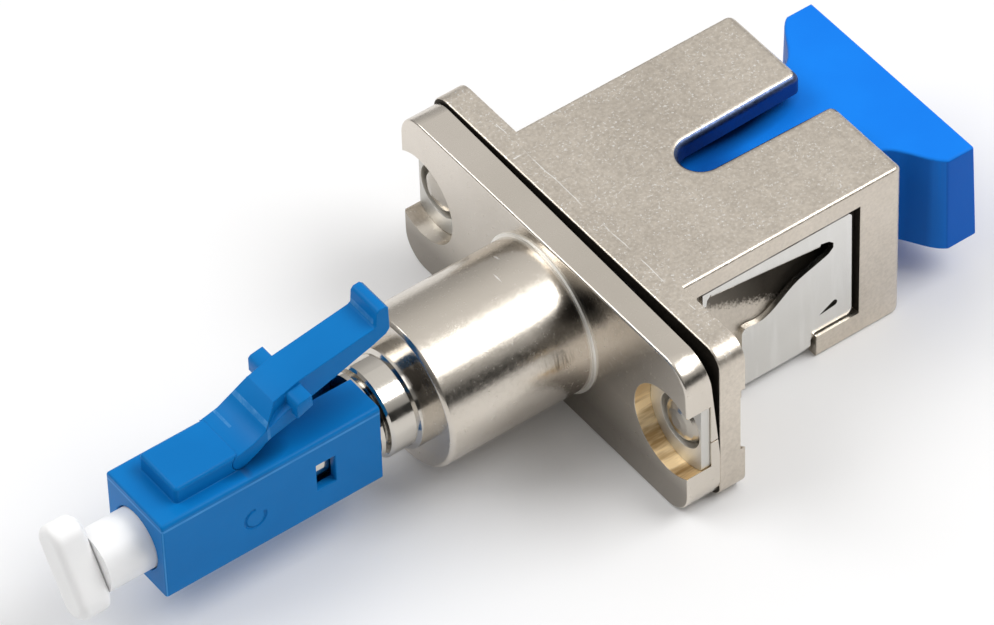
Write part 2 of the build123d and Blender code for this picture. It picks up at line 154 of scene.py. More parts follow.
def mixColour(tree, factor, first, second):
    node = addNode(tree, "ShaderNodeMix", data_type="RGBA")
    tree.links.new(factor, node.inputs["Factor"])
    for label, value in (("A", first), ("B", second)):
        socket = [s for s in node.inputs if s.name == label and s.type == "RGBA"][0]
        if isinstance(value, tuple):
            socket.default_value = (*value, 1.0)
        else:
            tree.links.new(value, socket)
    return [s for s in node.outputs if s.type == "RGBA"][0]


def bumpFrom(tree, height, distance):
    bump = tree.nodes.new("ShaderNodeBump")
    bump.inputs["Strength"].default_value = 1.0
    bump.inputs["Distance"].default_value = distance
    tree.links.new(height, bump.inputs["Height"])
    return bump.outputs["Normal"]


def stretched(tree, vector, scale, turn=0.0):
    # the same place, drawn out along an axis and turned about Y, for streaks and rubbed lines
    mapping = addNode(tree, "ShaderNodeMapping")
    mapping.inputs["Rotation"].default_value = (0.0, math.radians(turn), 0.0)
    mapping.inputs["Scale"].default_value = scale
    tree.links.new(vector, mapping.inputs["Vector"])
    return mapping.outputs["Vector"]


def between(tree, value, ends):
    low, high = inMm(ends)
    above = mathNode(tree, "GREATER_THAN", value, low)
    return times(tree, above, mathNode(tree, "LESS_THAN", value, high))


def boxMask(tree, axes, ranges):
    mask = between(tree, axes[0], ranges[0])
    for axis, ends in zip(axes[1:], ranges[1:]):
        mask = times(tree, mask, between(tree, axis, ends))
    return mask


def anyOf(tree, masks):
    total = masks[0]
    for mask in masks[1:]:
        total = mathNode(tree, "MAXIMUM", total, mask)
    return total


def placeFall(tree, axes, shade):
    # full strength inside the core of an ellipsoid, nothing past its reach
    squares = []
    for axis, centre, reach in zip(axes, shade["centre"], shade["reach"]):
        away = mathNode(tree, "DIVIDE", minus(tree, axis, centre * mm), reach * mm)
        squares.append(times(tree, away, away))
    total = plus(tree, plus(tree, squares[0], squares[1]), squares[2])
    return mapRange(tree, mathNode(tree, "SQRT", total), (shade.get("core", 0.2), 1.0), (shade["strength"], 0.0))


def addShades(tree, axes, colour, shades):
    for shade in shades:
        colour = mixColour(tree, placeFall(tree, axes, shade), colour, shade["tone"])
    return colour


def startMaterial(name):
    material = bpy.data.materials.new(name)
    material.use_nodes = True
    tree = material.node_tree
    coords = tree.nodes.new("ShaderNodeTexCoord")
    mapping = tree.nodes.new("ShaderNodeMapping")
    tree.links.new(coords.outputs["Object"], mapping.inputs["Vector"])
    return material


def partsOf(material):
    tree = material.node_tree
    return tree, tree.nodes["Principled BSDF"], tree.nodes["Mapping"].outputs["Vector"]


def soFar(shader, label):
    return shader.inputs[label].links[0].from_socket


def useGroup(tree, group, vector):
    node = tree.nodes.new("ShaderNodeGroup")
    node.node_tree = group
    tree.links.new(vector, node.inputs["Vector"])
    return node


cloudRange = (0.35, 0.65)  # where the cloud noise goes from a finish's dark tone to its light one
wideCloudRange = (0.3, 0.7)  # the same for the roughness of a plastic


def cloudTone(tree, cloud, dark, light):
    return mixColour(tree, mapRange(tree, cloud, cloudRange), dark, light)


# node groups: each effect is built once and placed with its own values; noises are scale, detail, roughness

castGrainSettings = {
    "fine": (5200, 3.0, 0.6), "fineShare": 0.85, "coarse": (1500, 3.0, 0.5), "coarseShare": 0.3,
    "cloud": (160, 3.0, 0.5), "speck": (6800, 2.0, 0.7), "speckRange": (0.575, 0.66),
    "flock": (1100, 2.0, 0.5), "flockRange": (0.42, 0.58), "flockShare": (0.3, 1.0),
}
latheSettings = {
    "lineDetail": (2.0, 0.5), "patch": (420, 3.0, 0.6), "scuffRange": (0.62, 0.74), "cloud": (120, 3.0, 0.5),
}
skinSettings = {"grainDetail": (3.0, 0.5), "cloud": (210, 3.0, 0.5)}


def buildCastGrain(settings):
    group, start, end = newGroup(
        "castGrain",
        [("Vector", "NodeSocketVector", None), ("Sparkle", "NodeSocketFloat", 0.5)],
        [("Height", "NodeSocketFloat"), ("Glint", "NodeSocketFloat"), ("Cloud", "NodeSocketFloat")],
    )
    vector = start.outputs["Vector"]
    fine = times(group, noiseNode(group, vector, *settings["fine"]), settings["fineShare"])
    coarse = times(group, noiseNode(group, vector, *settings["coarse"]), settings["coarseShare"])
    speck = mapRange(group, noiseNode(group, vector, *settings["speck"]), settings["speckRange"])
    flock = noiseNode(group, vector, *settings["flock"])
    flock = mapRange(group, flock, settings["flockRange"], settings["flockShare"])
    glint = times(group, times(group, speck, flock), start.outputs["Sparkle"])
    group.links.new(plus(group, fine, coarse), end.inputs["Height"])
    group.links.new(glint, end.inputs["Glint"])
    group.links.new(noiseNode(group, vector, *settings["cloud"]), end.inputs["Cloud"])
    return group


def buildLatheMarks(settings):
    group, start, end = newGroup(
        "latheMarks",
        [("Vector", "NodeSocketVector", None), ("Line Scale", "NodeSocketFloat", 9000.0)],
        [("Height", "NodeSocketFloat"), ("Scuff", "NodeSocketFloat"), ("Cloud", "NodeSocketFloat")],
    )
    vector = start.outputs["Vector"]
    along = addNode(group, "ShaderNodeCombineXYZ")
    group.links.new(axesOf(group, vector)[0], along.inputs["X"])
    line = noiseNode(group, along.outputs["Vector"], start.outputs["Line Scale"], *settings["lineDetail"])
    scuff = mapRange(group, noiseNode(group, vector, *settings["patch"]), settings["scuffRange"])
    group.links.new(line, end.inputs["Height"])
    group.links.new(scuff, end.inputs["Scuff"])
    group.links.new(noiseNode(group, vector, *settings["cloud"]), end.inputs["Cloud"])
    return group


def buildMouldSkin(settings):
    group, start, end = newGroup(
        "mouldSkin",
        [("Vector", "NodeSocketVector", None), ("Grain Scale", "NodeSocketFloat", 2600.0)],
        [("Height", "NodeSocketFloat"), ("Cloud", "NodeSocketFloat")],
    )
    vector = start.outputs["Vector"]
    grain = noiseNode(group, vector, start.outputs["Grain Scale"], *settings["grainDetail"])
    group.links.new(grain, end.inputs["Height"])
    group.links.new(noiseNode(group, vector, *settings["cloud"]), end.inputs["Cloud"])
    return group


castGrain = buildCastGrain(castGrainSettings)
latheMarks = buildLatheMarks(latheSettings)
mouldSkin = buildMouldSkin(skinSettings)
print("node groups built")


# plain finishes; depths of grain and lines are in metres

def turnedMetal(name, look):
    material = startMaterial(name)
    tree, shader, vector = partsOf(material)
    marks = useGroup(tree, latheMarks, vector)
    marks.inputs["Line Scale"].default_value = look.get("lineScale", 9000.0)
    colour = cloudTone(tree, marks.outputs["Cloud"], look["dark"], look["light"])
    rough = mapRange(tree, marks.outputs["Scuff"], (0.0, 1.0), look["rough"])
    tree.links.new(colour, shader.inputs["Base Color"])
    tree.links.new(rough, shader.inputs["Roughness"])
    tree.links.new(bumpFrom(tree, marks.outputs["Height"], look["lineDepth"]), shader.inputs["Normal"])
    shader.inputs["Metallic"].default_value = 1.0
    return material


glowReach = (0.0006, 0.0006, 0.0006)  # how far light goes into a soft plastic, in metres
coatRough = 0.25


def mouldedPlastic(name, look):
    material = startMaterial(name)
    tree, shader, vector = partsOf(material)
    skin = useGroup(tree, mouldSkin, vector)
    colour = cloudTone(tree, skin.outputs["Cloud"], look["dark"], look["light"])
    rough = mapRange(tree, skin.outputs["Cloud"], wideCloudRange, look["rough"])
    tree.links.new(colour, shader.inputs["Base Color"])
    tree.links.new(rough, shader.inputs["Roughness"])
    tree.links.new(bumpFrom(tree, skin.outputs["Height"], look["grainDepth"]), shader.inputs["Normal"])
    shader.inputs["Specular IOR Level"].default_value = look.get("shine", 0.5)
    if "glow" in look:
        shader.inputs["Subsurface Weight"].default_value = look["glow"]
        shader.inputs["Subsurface Radius"].default_value = glowReach
    if "coat" in look:
        shader.inputs["Coat Weight"].default_value = look["coat"]
        shader.inputs["Coat Roughness"].default_value = coatRough
    return material


# socket shell: a casting with a painted highlight along its seam line, painted shade in the gaps round the clip, on
# the faces of the flange gap and in a wedge behind the clip's cut-out, and a painted reflection of the blue cap on
# the keyway wall

castLook = {
    "dark": (0.54, 0.485, 0.415), "light": (0.72, 0.655, 0.57), "glint": (1.0, 0.98, 0.94),
    "cloudShare": 0.4, "grainRange": (0.42, 0.72), "grainShare": (0, 0.6),
    "rough": (0.30, 0.46), "roughRange": (0.4, 0.75), "glintGloss": 0.15, "grainDepth": 0.000012,
    "facing": (0.3, 0.9), "sparkle": (0.06, 1.0),  # the painted glints show most on faces that look up
}
shellMarks = {
    "gapFaceShade": ((-0.5, 0.03), (-11, 11), (-4.8, 4.8)),
    "edgeGapShades": (
        ((11.5, 11.87), (5.9, 6.47), (-3.48, 3.69)),
        ((2.2, 11.87), (5.9, 6.02), (3.45, 3.72)),
        ((9.3, 10.7), (5.9, 6.02), (-2.4, -1.6)),
    ),
    "wedge": ((2.1, 10.9), (4.8, 5.985), (-1.9, 3.45)), "slant": 0.468, "slantFrom": 5.4, "inward": 0.95,
    "fringe": (2.70, 3.2), "fringeDepth": 1.3, "fringeShare": (0.1, 1.0), "sand": (7000, 3.0, 0.65),
    "wedgeStart": (3.4, 6.8), "wedgeShare": (0.72, 1.0),
    "keywayWallReflection": ((6.1, 14.45), (-1.75, 1.75), (2.9, 4.80)), "wallReflectionTone": (0.03, 0.075, 0.2), "wallReflectionShare": 0.9,
    "seam": ((0.9, 1.1), (-7.9, 7.4), (4.8, 4.9)), "seamLine": (0.975, 1.025), "seamSway": 0.3,
    "sway": (500, 2.0, 0.5), "highlightBreaks": (900, 2.0, 0.5), "highlightBreakRange": (0.42, 0.52), "seamHighlightShare": 0.85,
    "hook": ((0.27, 0.97), (5.0, 5.08), (4.8, 4.9)),
    "shadeTone": (0.02, 0.015, 0.01), "shadeShare": 0.93, "shadeRough": 0.3,
}


def castMetal(name, look):
    material = startMaterial(name)
    tree, shader, vector = partsOf(material)
    grain = useGroup(tree, castGrain, vector)
    upward = axesOf(tree, addNode(tree, "ShaderNodeNewGeometry").outputs["Normal"])[2]
    tree.links.new(mapRange(tree, upward, look["facing"], look["sparkle"]), grain.inputs["Sparkle"])
    tone = times(tree, mapRange(tree, grain.outputs["Cloud"], cloudRange), look["cloudShare"])
    tone = plus(tree, tone, mapRange(tree, grain.outputs["Height"], look["grainRange"], look["grainShare"]))
    colour = mixColour(tree, tone, look["dark"], look["light"])
    # painted glints: specks lighten the base colour, most on faces that look up
    colour = mixColour(tree, grain.outputs["Glint"], colour, look["glint"])
    rough = mapRange(tree, grain.outputs["Height"], look["roughRange"], look["rough"])
    smoother = times(tree, grain.outputs["Glint"], look["glintGloss"])
    rough = mathNode(tree, "SUBTRACT", rough, smoother, clamp=True)
    tree.links.new(colour, shader.inputs["Base Color"])
    tree.links.new(rough, shader.inputs["Roughness"])
    tree.links.new(bumpFrom(tree, grain.outputs["Height"], look["grainDepth"]), shader.inputs["Normal"])
    shader.inputs["Metallic"].default_value = 1.0
    return material


def shellMetal(name, look, marks):
    material = castMetal(name, look)
    tree, shader, vector = partsOf(material)
    axes = x, y, z = axesOf(tree, vector)
    side = sizeOf(tree, y)
    bothSides = (x, side, z)

    # painted highlight along the seam line and its hook, broken up by noise
    sway = times(tree, minus(tree, noiseNode(tree, vector, *marks["sway"]), 0.5), marks["seamSway"] * mm)
    onLine = between(tree, plus(tree, x, sway), marks["seamLine"])
    seam = times(tree, boxMask(tree, axes, marks["seam"]), onLine)
    highlightBreaks = mapRange(tree, noiseNode(tree, vector, *marks["highlightBreaks"]), marks["highlightBreakRange"])
    seam = times(tree, anyOf(tree, [seam, boxMask(tree, axes, marks["hook"])]), highlightBreaks)

    # painted shade in a wedge behind the clip's cut-out, darkest under its top edge and ragged at its fringe
    slant = plus(tree, z, times(tree, x, marks["slant"]))
    slant = minus(tree, slant, times(tree, minus(tree, side, marks["slantFrom"] * mm), marks["inward"]))
    sand = minus(tree, noiseNode(tree, vector, *marks["sand"]), 0.5)
    ragged = plus(tree, slant, times(tree, sand, marks["fringeDepth"] * mm))
    fringe = mapRange(tree, ragged, inMm(marks["fringe"]), marks["fringeShare"])
    wedge = times(tree, boxMask(tree, bothSides, marks["wedge"]), fringe)
    wedge = times(tree, wedge, mapRange(tree, x, inMm(marks["wedgeStart"]), marks["wedgeShare"]))
    # painted shade in the gaps round the clip and on the faces of the flange gap
    gapShades = anyOf(tree, [boxMask(tree, bothSides, ranges) for ranges in marks["edgeGapShades"]])
    shade = anyOf(tree, [wedge, gapShades, boxMask(tree, axes, marks["gapFaceShade"])])

    colour = mixColour(tree, times(tree, seam, marks["seamHighlightShare"]), soFar(shader, "Base Color"), look["glint"])
    colour = mixColour(tree, times(tree, shade, marks["shadeShare"]), colour, marks["shadeTone"])
    # painted reflection of the blue cap on the keyway wall
    wall = times(tree, boxMask(tree, axes, marks["keywayWallReflection"]), marks["wallReflectionShare"])
    tree.links.new(mixColour(tree, wall, colour, marks["wallReflectionTone"]), shader.inputs["Base Color"])
    duller = times(tree, shade, marks["shadeRough"])
    rough = mathNode(tree, "ADD", soFar(shader, "Roughness"), duller, clamp=True)
    tree.links.new(rough, shader.inputs["Roughness"])
    return material


# neck: turned metal with the shade under the barrel's edge and in its groove

neckLook = {"dark": (0.60, 0.565, 0.51), "light": (0.69, 0.655, 0.60), "rough": (0.12, 0.22), "lineDepth": 0.000002}
neckShades = [
    {
        "centre": (-10.4, -1.45, 2.2), "reach": (0.75, 1.35, 1.3), "core": 0.4,
        "strength": 0.9, "tone": (0.02, 0.017, 0.016),
    },
    {
        "centre": (-12.42, -1.8, 1.8), "reach": (0.16, 2.6, 2.6), "core": 0.6,
        "strength": 0.9, "tone": (0.015, 0.014, 0.016),
    },
]


def neckMetal(name, look, shades):
    material = turnedMetal(name, look)
    tree, shader, vector = partsOf(material)
    colour = addShades(tree, axesOf(tree, vector), soFar(shader, "Base Color"), shades)
    tree.links.new(colour, shader.inputs["Base Color"])
    return material


# clip: rolled sheet with fine rubbed lines, and a painted shade line where its top edge goes under the casting

sheetLook = {
    "dark": (0.66, 0.65, 0.62), "light": (0.74, 0.73, 0.70), "rough": (0.20, 0.30),
    "lineDepth": 0.0000006, "lineScale": 3000.0,
}
clipMarks = {
    "topLineShade": ((2.6, 11.3), (6.2, 6.35), (3.34, 3.65)), "lineShadeTone": (0.03, 0.02, 0.015),
    "uneven": (600, 2.0, 0.5), "unevenRange": (0.35, 0.6), "unevenShare": (0.6, 0.95),
    "rubScale": (1.0, 1.0, 0.08), "rubTurn": 35, "rub": (2600, 3.0, 0.6), "rubRange": (0.5, 0.75),
    "rubShare": (0.0, 0.35), "rubTone": (0.86, 0.85, 0.83),
}


def clipSheet(name, look, marks):
    material = turnedMetal(name, look)
    tree, shader, vector = partsOf(material)
    x, y, z = axesOf(tree, vector)
    # painted shade line along the plate's top edge, uneven along its length
    line = boxMask(tree, (x, sizeOf(tree, y), z), marks["topLineShade"])
    uneven = mapRange(tree, noiseNode(tree, vector, *marks["uneven"]), marks["unevenRange"], marks["unevenShare"])
    rubPlace = stretched(tree, vector, marks["rubScale"], marks["rubTurn"])
    rubbed = mapRange(tree, noiseNode(tree, rubPlace, *marks["rub"]), marks["rubRange"], marks["rubShare"])
    colour = mixColour(tree, rubbed, soFar(shader, "Base Color"), marks["rubTone"])
    colour = mixColour(tree, times(tree, line, uneven), colour, marks["lineShadeTone"])
    tree.links.new(colour, shader.inputs["Base Color"])
    return material


# flange and barrel: polished nickel plate; the near pocket was milled afterwards and its wall shows the brass

plateLook = {
    "dark": (0.62, 0.57, 0.50), "light": (0.71, 0.655, 0.585), "rough": (0.17, 0.29), "duller": 0.25,
    "ragged": (3600, 4.0, 0.7), "raggedRange": (0.3, 0.7), "raggedDepth": 3.2, "lineDepth": 0.0000012,
}
barrelMarks = {
    # painted dark reflections on the barrel near its root and on the flange face beside it
    "shades": [
        {
            "centre": (-2.0, -2.95, 2.75), "reach": (2.8, 0.95, 0.95), "core": 0.3,
            "strength": 0.85, "tone": (0.02, 0.016, 0.012),
        },
        {
            "centre": (-1.93, -3.3, 3.6), "reach": (0.4, 2.0, 1.3), "core": 0.3,
            "strength": 0.85, "tone": (0.02, 0.016, 0.012),
        },
    ],
    "ring": {"x": (-2.06, -1.94), "radius": (4.02, 4.3), "tone": (0.95, 0.93, 0.88)},
    "scuff": {"centre": (-4.1, -3.85, 1.05), "reach": (1.4, 0.6, 0.65), "strength": 0.75},
    "scuffScale": (1.0, 0.06, 0.06), "scuffNoise": (7000, 3.0, 0.65), "scuffRange": (0.48, 0.58),
    "scuffTone": (0.16, 0.13, 0.09),
    "scratches": (
        {"centre": (-3.63, 1.15, 3.86), "reach": (0.06, 0.3, 0.4), "strength": 0.9},
        {"centre": (-4.47, -0.05, 4.03), "reach": (0.05, 0.38, 0.4), "strength": 0.9},
    ),
    "scratchTone": (1.0, 0.98, 0.95),
    "lowTone": (0.10, 0.085, 0.07), "lowReflectionRange": (-0.6, -3.2), "lowReflectionShare": (0.0, 0.62),
    "rearPlane": (-0.022, 0.1, 0.085),  # slope per Y, slope per Z, place on X
    "rearShadeTone": (0.015, 0.012, 0.01), "rearShadeShare": 0.95, "facePlay": (0.02, 0.05),
}
pocketSettings = {
    "y": 9.6, "radius": 2.5, "cadY": 9.4, "cadRadius": 2.7, "face": -1.93, "floor": -0.53,
    "flangeEnd": 11.1, "cornerFrom": 10.95, "pickInside": 0.06, "pickOutside": 0.03, "pickAhead": 0.01,
}
brassMarks = {
    "dark": (0.42, 0.28, 0.13), "light": (1.0, 0.80, 0.50), "wallPlay": 0.05, "endPlay": 0.02,
    "streakScale": (0.15, 1.0, 1.0), "streak": (1700, 3.0, 0.65), "tornRange": (0.36, 0.62),
    "litRange": (-0.9, 0.3), "litShare": (0.0, 0.75), "streakDepth": 20.0,
}


def platedBody(name, look, pocket, brass, barrel):
    material = startMaterial(name)
    tree, shader, vector = partsOf(material)
    marks = useGroup(tree, latheMarks, vector)
    plate = cloudTone(tree, marks.outputs["Cloud"], look["dark"], look["light"])
    axes = x, y, z = axesOf(tree, vector)

    radius = distanceFrom(tree, plus(tree, y, pocket["y"] * mm), z)
    wall = between(tree, radius, (pocket["radius"] - brass["wallPlay"], pocket["radius"] + brass["wallPlay"]))
    depth = between(tree, x, (pocket["face"] + brass["endPlay"], pocket["floor"] - brass["endPlay"]))
    fromEnd = plus(tree, y, pocket["flangeEnd"] * mm)
    milled = times(tree, times(tree, wall, depth), mathNode(tree, "GREATER_THAN", fromEnd, brass["endPlay"] * mm))
    streaks = noiseNode(tree, stretched(tree, vector, brass["streakScale"]), *brass["streak"])
    lit = mapRange(tree, z, inMm(brass["litRange"]), brass["litShare"])
    torn = mathNode(tree, "MAXIMUM", mapRange(tree, streaks, brass["tornRange"]), lit)
    brassTone = mixColour(tree, torn, brass["dark"], brass["light"])

    # painted shade on the front body's rear face, in the gap before the shell's flange
    perY, perZ, rearX = barrel["rearPlane"]
    rearPlace = plus(tree, plus(tree, x, times(tree, y, perY)), times(tree, z, perZ))
    rearShade = mathNode(tree, "GREATER_THAN", rearPlace, rearX * mm)
    # painted reflection of the shaded floor: the flange's front face gets darker towards the bottom
    playIn, playOut = barrel["facePlay"]
    frontFace = mathNode(tree, "LESS_THAN", x, (pocket["face"] + playIn) * mm)
    frontFace = times(tree, frontFace, mathNode(tree, "GREATER_THAN", x, (pocket["face"] - playOut) * mm))
    low = times(tree, frontFace, mapRange(tree, z, inMm(barrel["lowReflectionRange"]), barrel["lowReflectionShare"]))

    colour = mixColour(tree, low, plate, barrel["lowTone"])
    colour = mixColour(tree, milled, colour, brassTone)
    # painted dark reflections near the barrel's root
    colour = addShades(tree, axes, colour, barrel["shades"])
    # painted highlight on the ring at the barrel's root, also made duller
    aroundRing = between(tree, distanceFrom(tree, y, z), barrel["ring"]["radius"])
    ring = times(tree, between(tree, x, barrel["ring"]["x"]), aroundRing)
    colour = mixColour(tree, ring, colour, barrel["ring"]["tone"])
    scuffPlace = stretched(tree, vector, barrel["scuffScale"])
    rubs = mapRange(tree, noiseNode(tree, scuffPlace, *barrel["scuffNoise"]), barrel["scuffRange"])
    scuff = times(tree, placeFall(tree, axes, barrel["scuff"]), rubs)
    colour = mixColour(tree, scuff, colour, barrel["scuffTone"])
    scratch = anyOf(tree, [placeFall(tree, axes, mark) for mark in barrel["scratches"]])
    colour = mixColour(tree, scratch, colour, barrel["scratchTone"])
    colour = mixColour(tree, times(tree, rearShade, barrel["rearShadeShare"]), colour, barrel["rearShadeTone"])
    tree.links.new(colour, shader.inputs["Base Color"])

    ragged = noiseNode(tree, vector, *look["ragged"])
    duller = times(tree, anyOf(tree, [milled, rearShade, ring, scratch]), look["duller"])
    rough = plus(tree, mapRange(tree, ragged, look["raggedRange"], look["rough"]), duller)
    tree.links.new(rough, shader.inputs["Roughness"])
    height = plus(tree, marks.outputs["Height"], times(tree, ragged, look["raggedDepth"]))
    height = plus(tree, height, times(tree, milled, times(tree, streaks, brass["streakDepth"])))
    tree.links.new(bumpFrom(tree, height, look["lineDepth"]), shader.inputs["Normal"])
    shader.inputs["Metallic"].default_value = 1.0
    return material


# blue plastics: soft painted shades, and on the plug painted highlights along its edges and frosted creases

plugLook = {
    "dark": (0.002, 0.163, 0.48), "light": (0.003, 0.185, 0.53), "rough": (0.30, 0.40),
    "grainDepth": 0.0000022, "shine": 0.1,
}
plugShades = [
    {
        "centre": (-19.4, -1.35, 2.3), "reach": (2.6, 1.0, 0.5), "core": 0.5,
        "strength": 0.95, "tone": (0.001, 0.03, 0.12),
    },
    {
        "centre": (-16.0, -0.8, 2.3), "reach": (4.8, 1.5, 0.5), "core": 0.4,
        "strength": 0.7, "tone": (0.001, 0.05, 0.2),
    },
]
# painted highlights along the housing's top and front edges, and frosted stress marks in the lever's creases
plugHighlightsAndCreases = {
    "edges": (
        ((-25.1, -12.8), (-2.3, -2.16), (2.16, 2.3)), ((-25.1, -24.92), (-2.3, 2.3), (2.16, 2.3)),
        ((-25.1, -24.95), (-2.3, -2.18), (-2.3, 2.3)),
    ),
    "edgeTone": (0.07, 0.33, 0.72), "edge": (700, 2.0, 0.5), "edgeRange": (0.3, 0.6), "edgeShare": (0.55, 0.9),
    "creases": (
        ((-19.57, -19.43), (0.1, 1.5), (3.3, 4.4)), ((-18.52, -18.36), (-1.6, 1.7), (3.3, 4.8)),
        ((-12.05, -11.85), (-0.8, 1.6), (5.6, 6.7)),
    ),
    "creaseTone": (0.13, 0.38, 0.70), "crease": (2400, 4.0, 0.6),
    "creaseRange": (0.35, 0.7), "creaseShare": (0.15, 0.6),
}
portCapLook = {
    "dark": (0.003, 0.19, 0.78), "light": (0.004, 0.21, 0.82), "rough": (0.38, 0.50),
    "grainDepth": 0.0000022, "shine": 0.1,
}
portCapShades = [
    {
        "centre": (10.4, 2.2, 3.0), "reach": (4.6, 1.75, 2.0), "core": 0.45,
        "strength": 0.95, "tone": (0.0, 0.01, 0.07),
    },
    {
        "centre": (8.3, 0.2, 3.0), "reach": (2.4, 2.0, 2.0), "core": 0.2,
        "strength": 0.6, "tone": (0.0, 0.03, 0.2),
    },
]
portCapBar = {  # the ranges are parts of the surface's direction
    "start": 14.4, "flatRange": (0.9, 0.3), "sideShadeShare": 0.62, "sideShadeTone": (0.001, 0.06, 0.35),
    "innerRange": (-0.35, -0.9), "innerShadeShare": 0.85, "innerShadeTone": (0.001, 0.032, 0.19),
    "turnRange": (0.93, 0.8), "turnHighlightShare": (0.0, 0.55), "turnHighlightTone": (0.01, 0.24, 0.88),
}


def shadedPlastic(name, look, shades, highlightsAndCreases=None):
    material = mouldedPlastic(name, look)
    tree, shader, vector = partsOf(material)
    axes = axesOf(tree, vector)
    colour = addShades(tree, axes, soFar(shader, "Base Color"), shades)
    if highlightsAndCreases:
        # painted edge highlights and frosted crease marks
        for part in ("edge", "crease"):
            share = mapRange(tree, noiseNode(tree, vector, *highlightsAndCreases[part]), highlightsAndCreases[part + "Range"], highlightsAndCreases[part + "Share"])
            mask = anyOf(tree, [boxMask(tree, axes, ranges) for ranges in highlightsAndCreases[part + "s"]])
            colour = mixColour(tree, times(tree, mask, share), colour, highlightsAndCreases[part + "Tone"])
    tree.links.new(colour, shader.inputs["Base Color"])
    return material


def portCapBlue(name, look, shades, bar):
    # painted shade makes the bar's sides darker than its top, most of all on the faces towards the casting, and a
    # painted highlight lightens its turning edges
    material = shadedPlastic(name, look, shades)
    tree, shader, vector = partsOf(material)
    onBar = mathNode(tree, "GREATER_THAN", axesOf(tree, vector)[0], bar["start"] * mm)
    facing = axesOf(tree, addNode(tree, "ShaderNodeNewGeometry").outputs["Normal"])
    shadedSides = times(tree, onBar, mapRange(tree, facing[2], bar["flatRange"]))
    innerShade = times(tree, shadedSides, mapRange(tree, facing[0], bar["innerRange"]))
    longest = anyOf(tree, [sizeOf(tree, direction) for direction in facing])
    turningHighlight = times(tree, onBar, mapRange(tree, longest, bar["turnRange"], bar["turnHighlightShare"]))
    colour = mixColour(tree, times(tree, shadedSides, bar["sideShadeShare"]), soFar(shader, "Base Color"), bar["sideShadeTone"])
    colour = mixColour(tree, times(tree, innerShade, bar["innerShadeShare"]), colour, bar["innerShadeTone"])
    colour = mixColour(tree, turningHighlight, colour, bar["turnHighlightTone"])
    tree.links.new(colour, shader.inputs["Base Color"])
    return material


plainMetals = {
    "brightTurned": {
        "dark": (0.60, 0.565, 0.51), "light": (0.69, 0.655, 0.60), "rough": (0.10, 0.2), "lineDepth": 0.000001,
    },
    "rivetMetal": {
        "dark": (0.42, 0.385, 0.335), "light": (0.62, 0.575, 0.51), "rough": (0.26, 0.4),
        "lineDepth": 0.000003, "lineScale": 4000.0,
    },
    "ringMetal": {
        "dark": (0.64, 0.625, 0.59), "light": (0.74, 0.725, 0.68), "rough": (0.5, 0.65),
        "lineDepth": 0.000002, "lineScale": 4000.0,
    },
    "springWire": sheetLook,
}
plainPlastics = {
    "capWhite": {
        "dark": (0.93, 0.93, 0.93), "light": (0.96, 0.96, 0.96), "rough": (0.4, 0.5),
        "grainDepth": 0.000002, "glow": 0.5,
    },
    "cageBlack": {
        "dark": (0.012, 0.012, 0.014), "light": (0.03, 0.03, 0.033), "rough": (0.45, 0.6), "grainDepth": 0.000002,
    },
    "zirconia": {
        "dark": (0.80, 0.79, 0.76), "light": (0.88, 0.87, 0.84), "rough": (0.12, 0.2),
        "grainDepth": 0.0000005, "coat": 0.4,
    },
    "bufferSkin": {
        "dark": (0.72, 0.70, 0.62), "light": (0.80, 0.78, 0.70), "rough": (0.4, 0.5), "grainDepth": 0.000001,
    },
}

materials = {
    "castNickel": shellMetal("castNickel", castLook, shellMarks),
    "platedBrass": platedBody("platedBrass", plateLook, pocketSettings, brassMarks, barrelMarks),
    "springSheet": clipSheet("springSheet", sheetLook, clipMarks),
    "neckTurned": neckMetal("neckTurned", neckLook, neckShades),
    "plugBlue": shadedPlastic("plugBlue", plugLook, plugShades, plugHighlightsAndCreases),
    "capBlue": portCapBlue("capBlue", portCapLook, portCapShades, portCapBar),
}
for name, look in plainMetals.items():
    materials[name] = turnedMetal(name, look)
for name, look in plainPlastics.items():
    materials[name] = mouldedPlastic(name, look)

finishes = {
    "castNickel": ("sc_shell",),
    "springSheet": ("mounting_clip",),
    "platedBrass": ("front_body",),
    "brightTurned": ("sleeve_holder", "stub_holder", "ferrule_carrier"),
    "neckTurned": ("neck_tube", "neck_nut", "lc_inner_body"),
    "rivetMetal": ("rivet_near", "rivet_far"),
    "ringMetal": ("pocket_ring_near", "pocket_ring_far"),
    "springWire": ("ferrule_spring",),
    "plugBlue": ("lc_housing", "lc_latch_lever"),
    "capBlue": ("sc_dust_cap",),
    "capWhite": ("lc_dust_cap",),
    "cageBlack": ("latch_cage",),
    "zirconia": ("split_sleeve", "stub_ferrule", "lc_ferrule"),
    "bufferSkin": ("fibre_core",),
}
for materialName, nodeNames in finishes.items():
    for nodeName in nodeNames:
        nodes[nodeName].data.materials.clear()
        nodes[nodeName].data.materials.append(materials[materialName])
print("materials built and given to the nodes")


# stand-ins: a merged copy of a node, with its sharp edges rounded a little as on the moulded or cast part

softEdges = {
    "lc_housing": {"width": 0.05, "segments": 2, "angle": 50},
    "lc_latch_lever": {"width": 0.05, "segments": 2, "angle": 50},
    "sc_dust_cap": {"width": 0.1, "segments": 3, "angle": 40},
}
pocketEdge = {"width": 0.03, "segments": 2, "angle": 40}
mergeSettings = {"distance": 0.001, "flatAngle": 0.5}
furthestMove = 0.11  # a rounded corner that folds further than this from the node's surface goes back to it


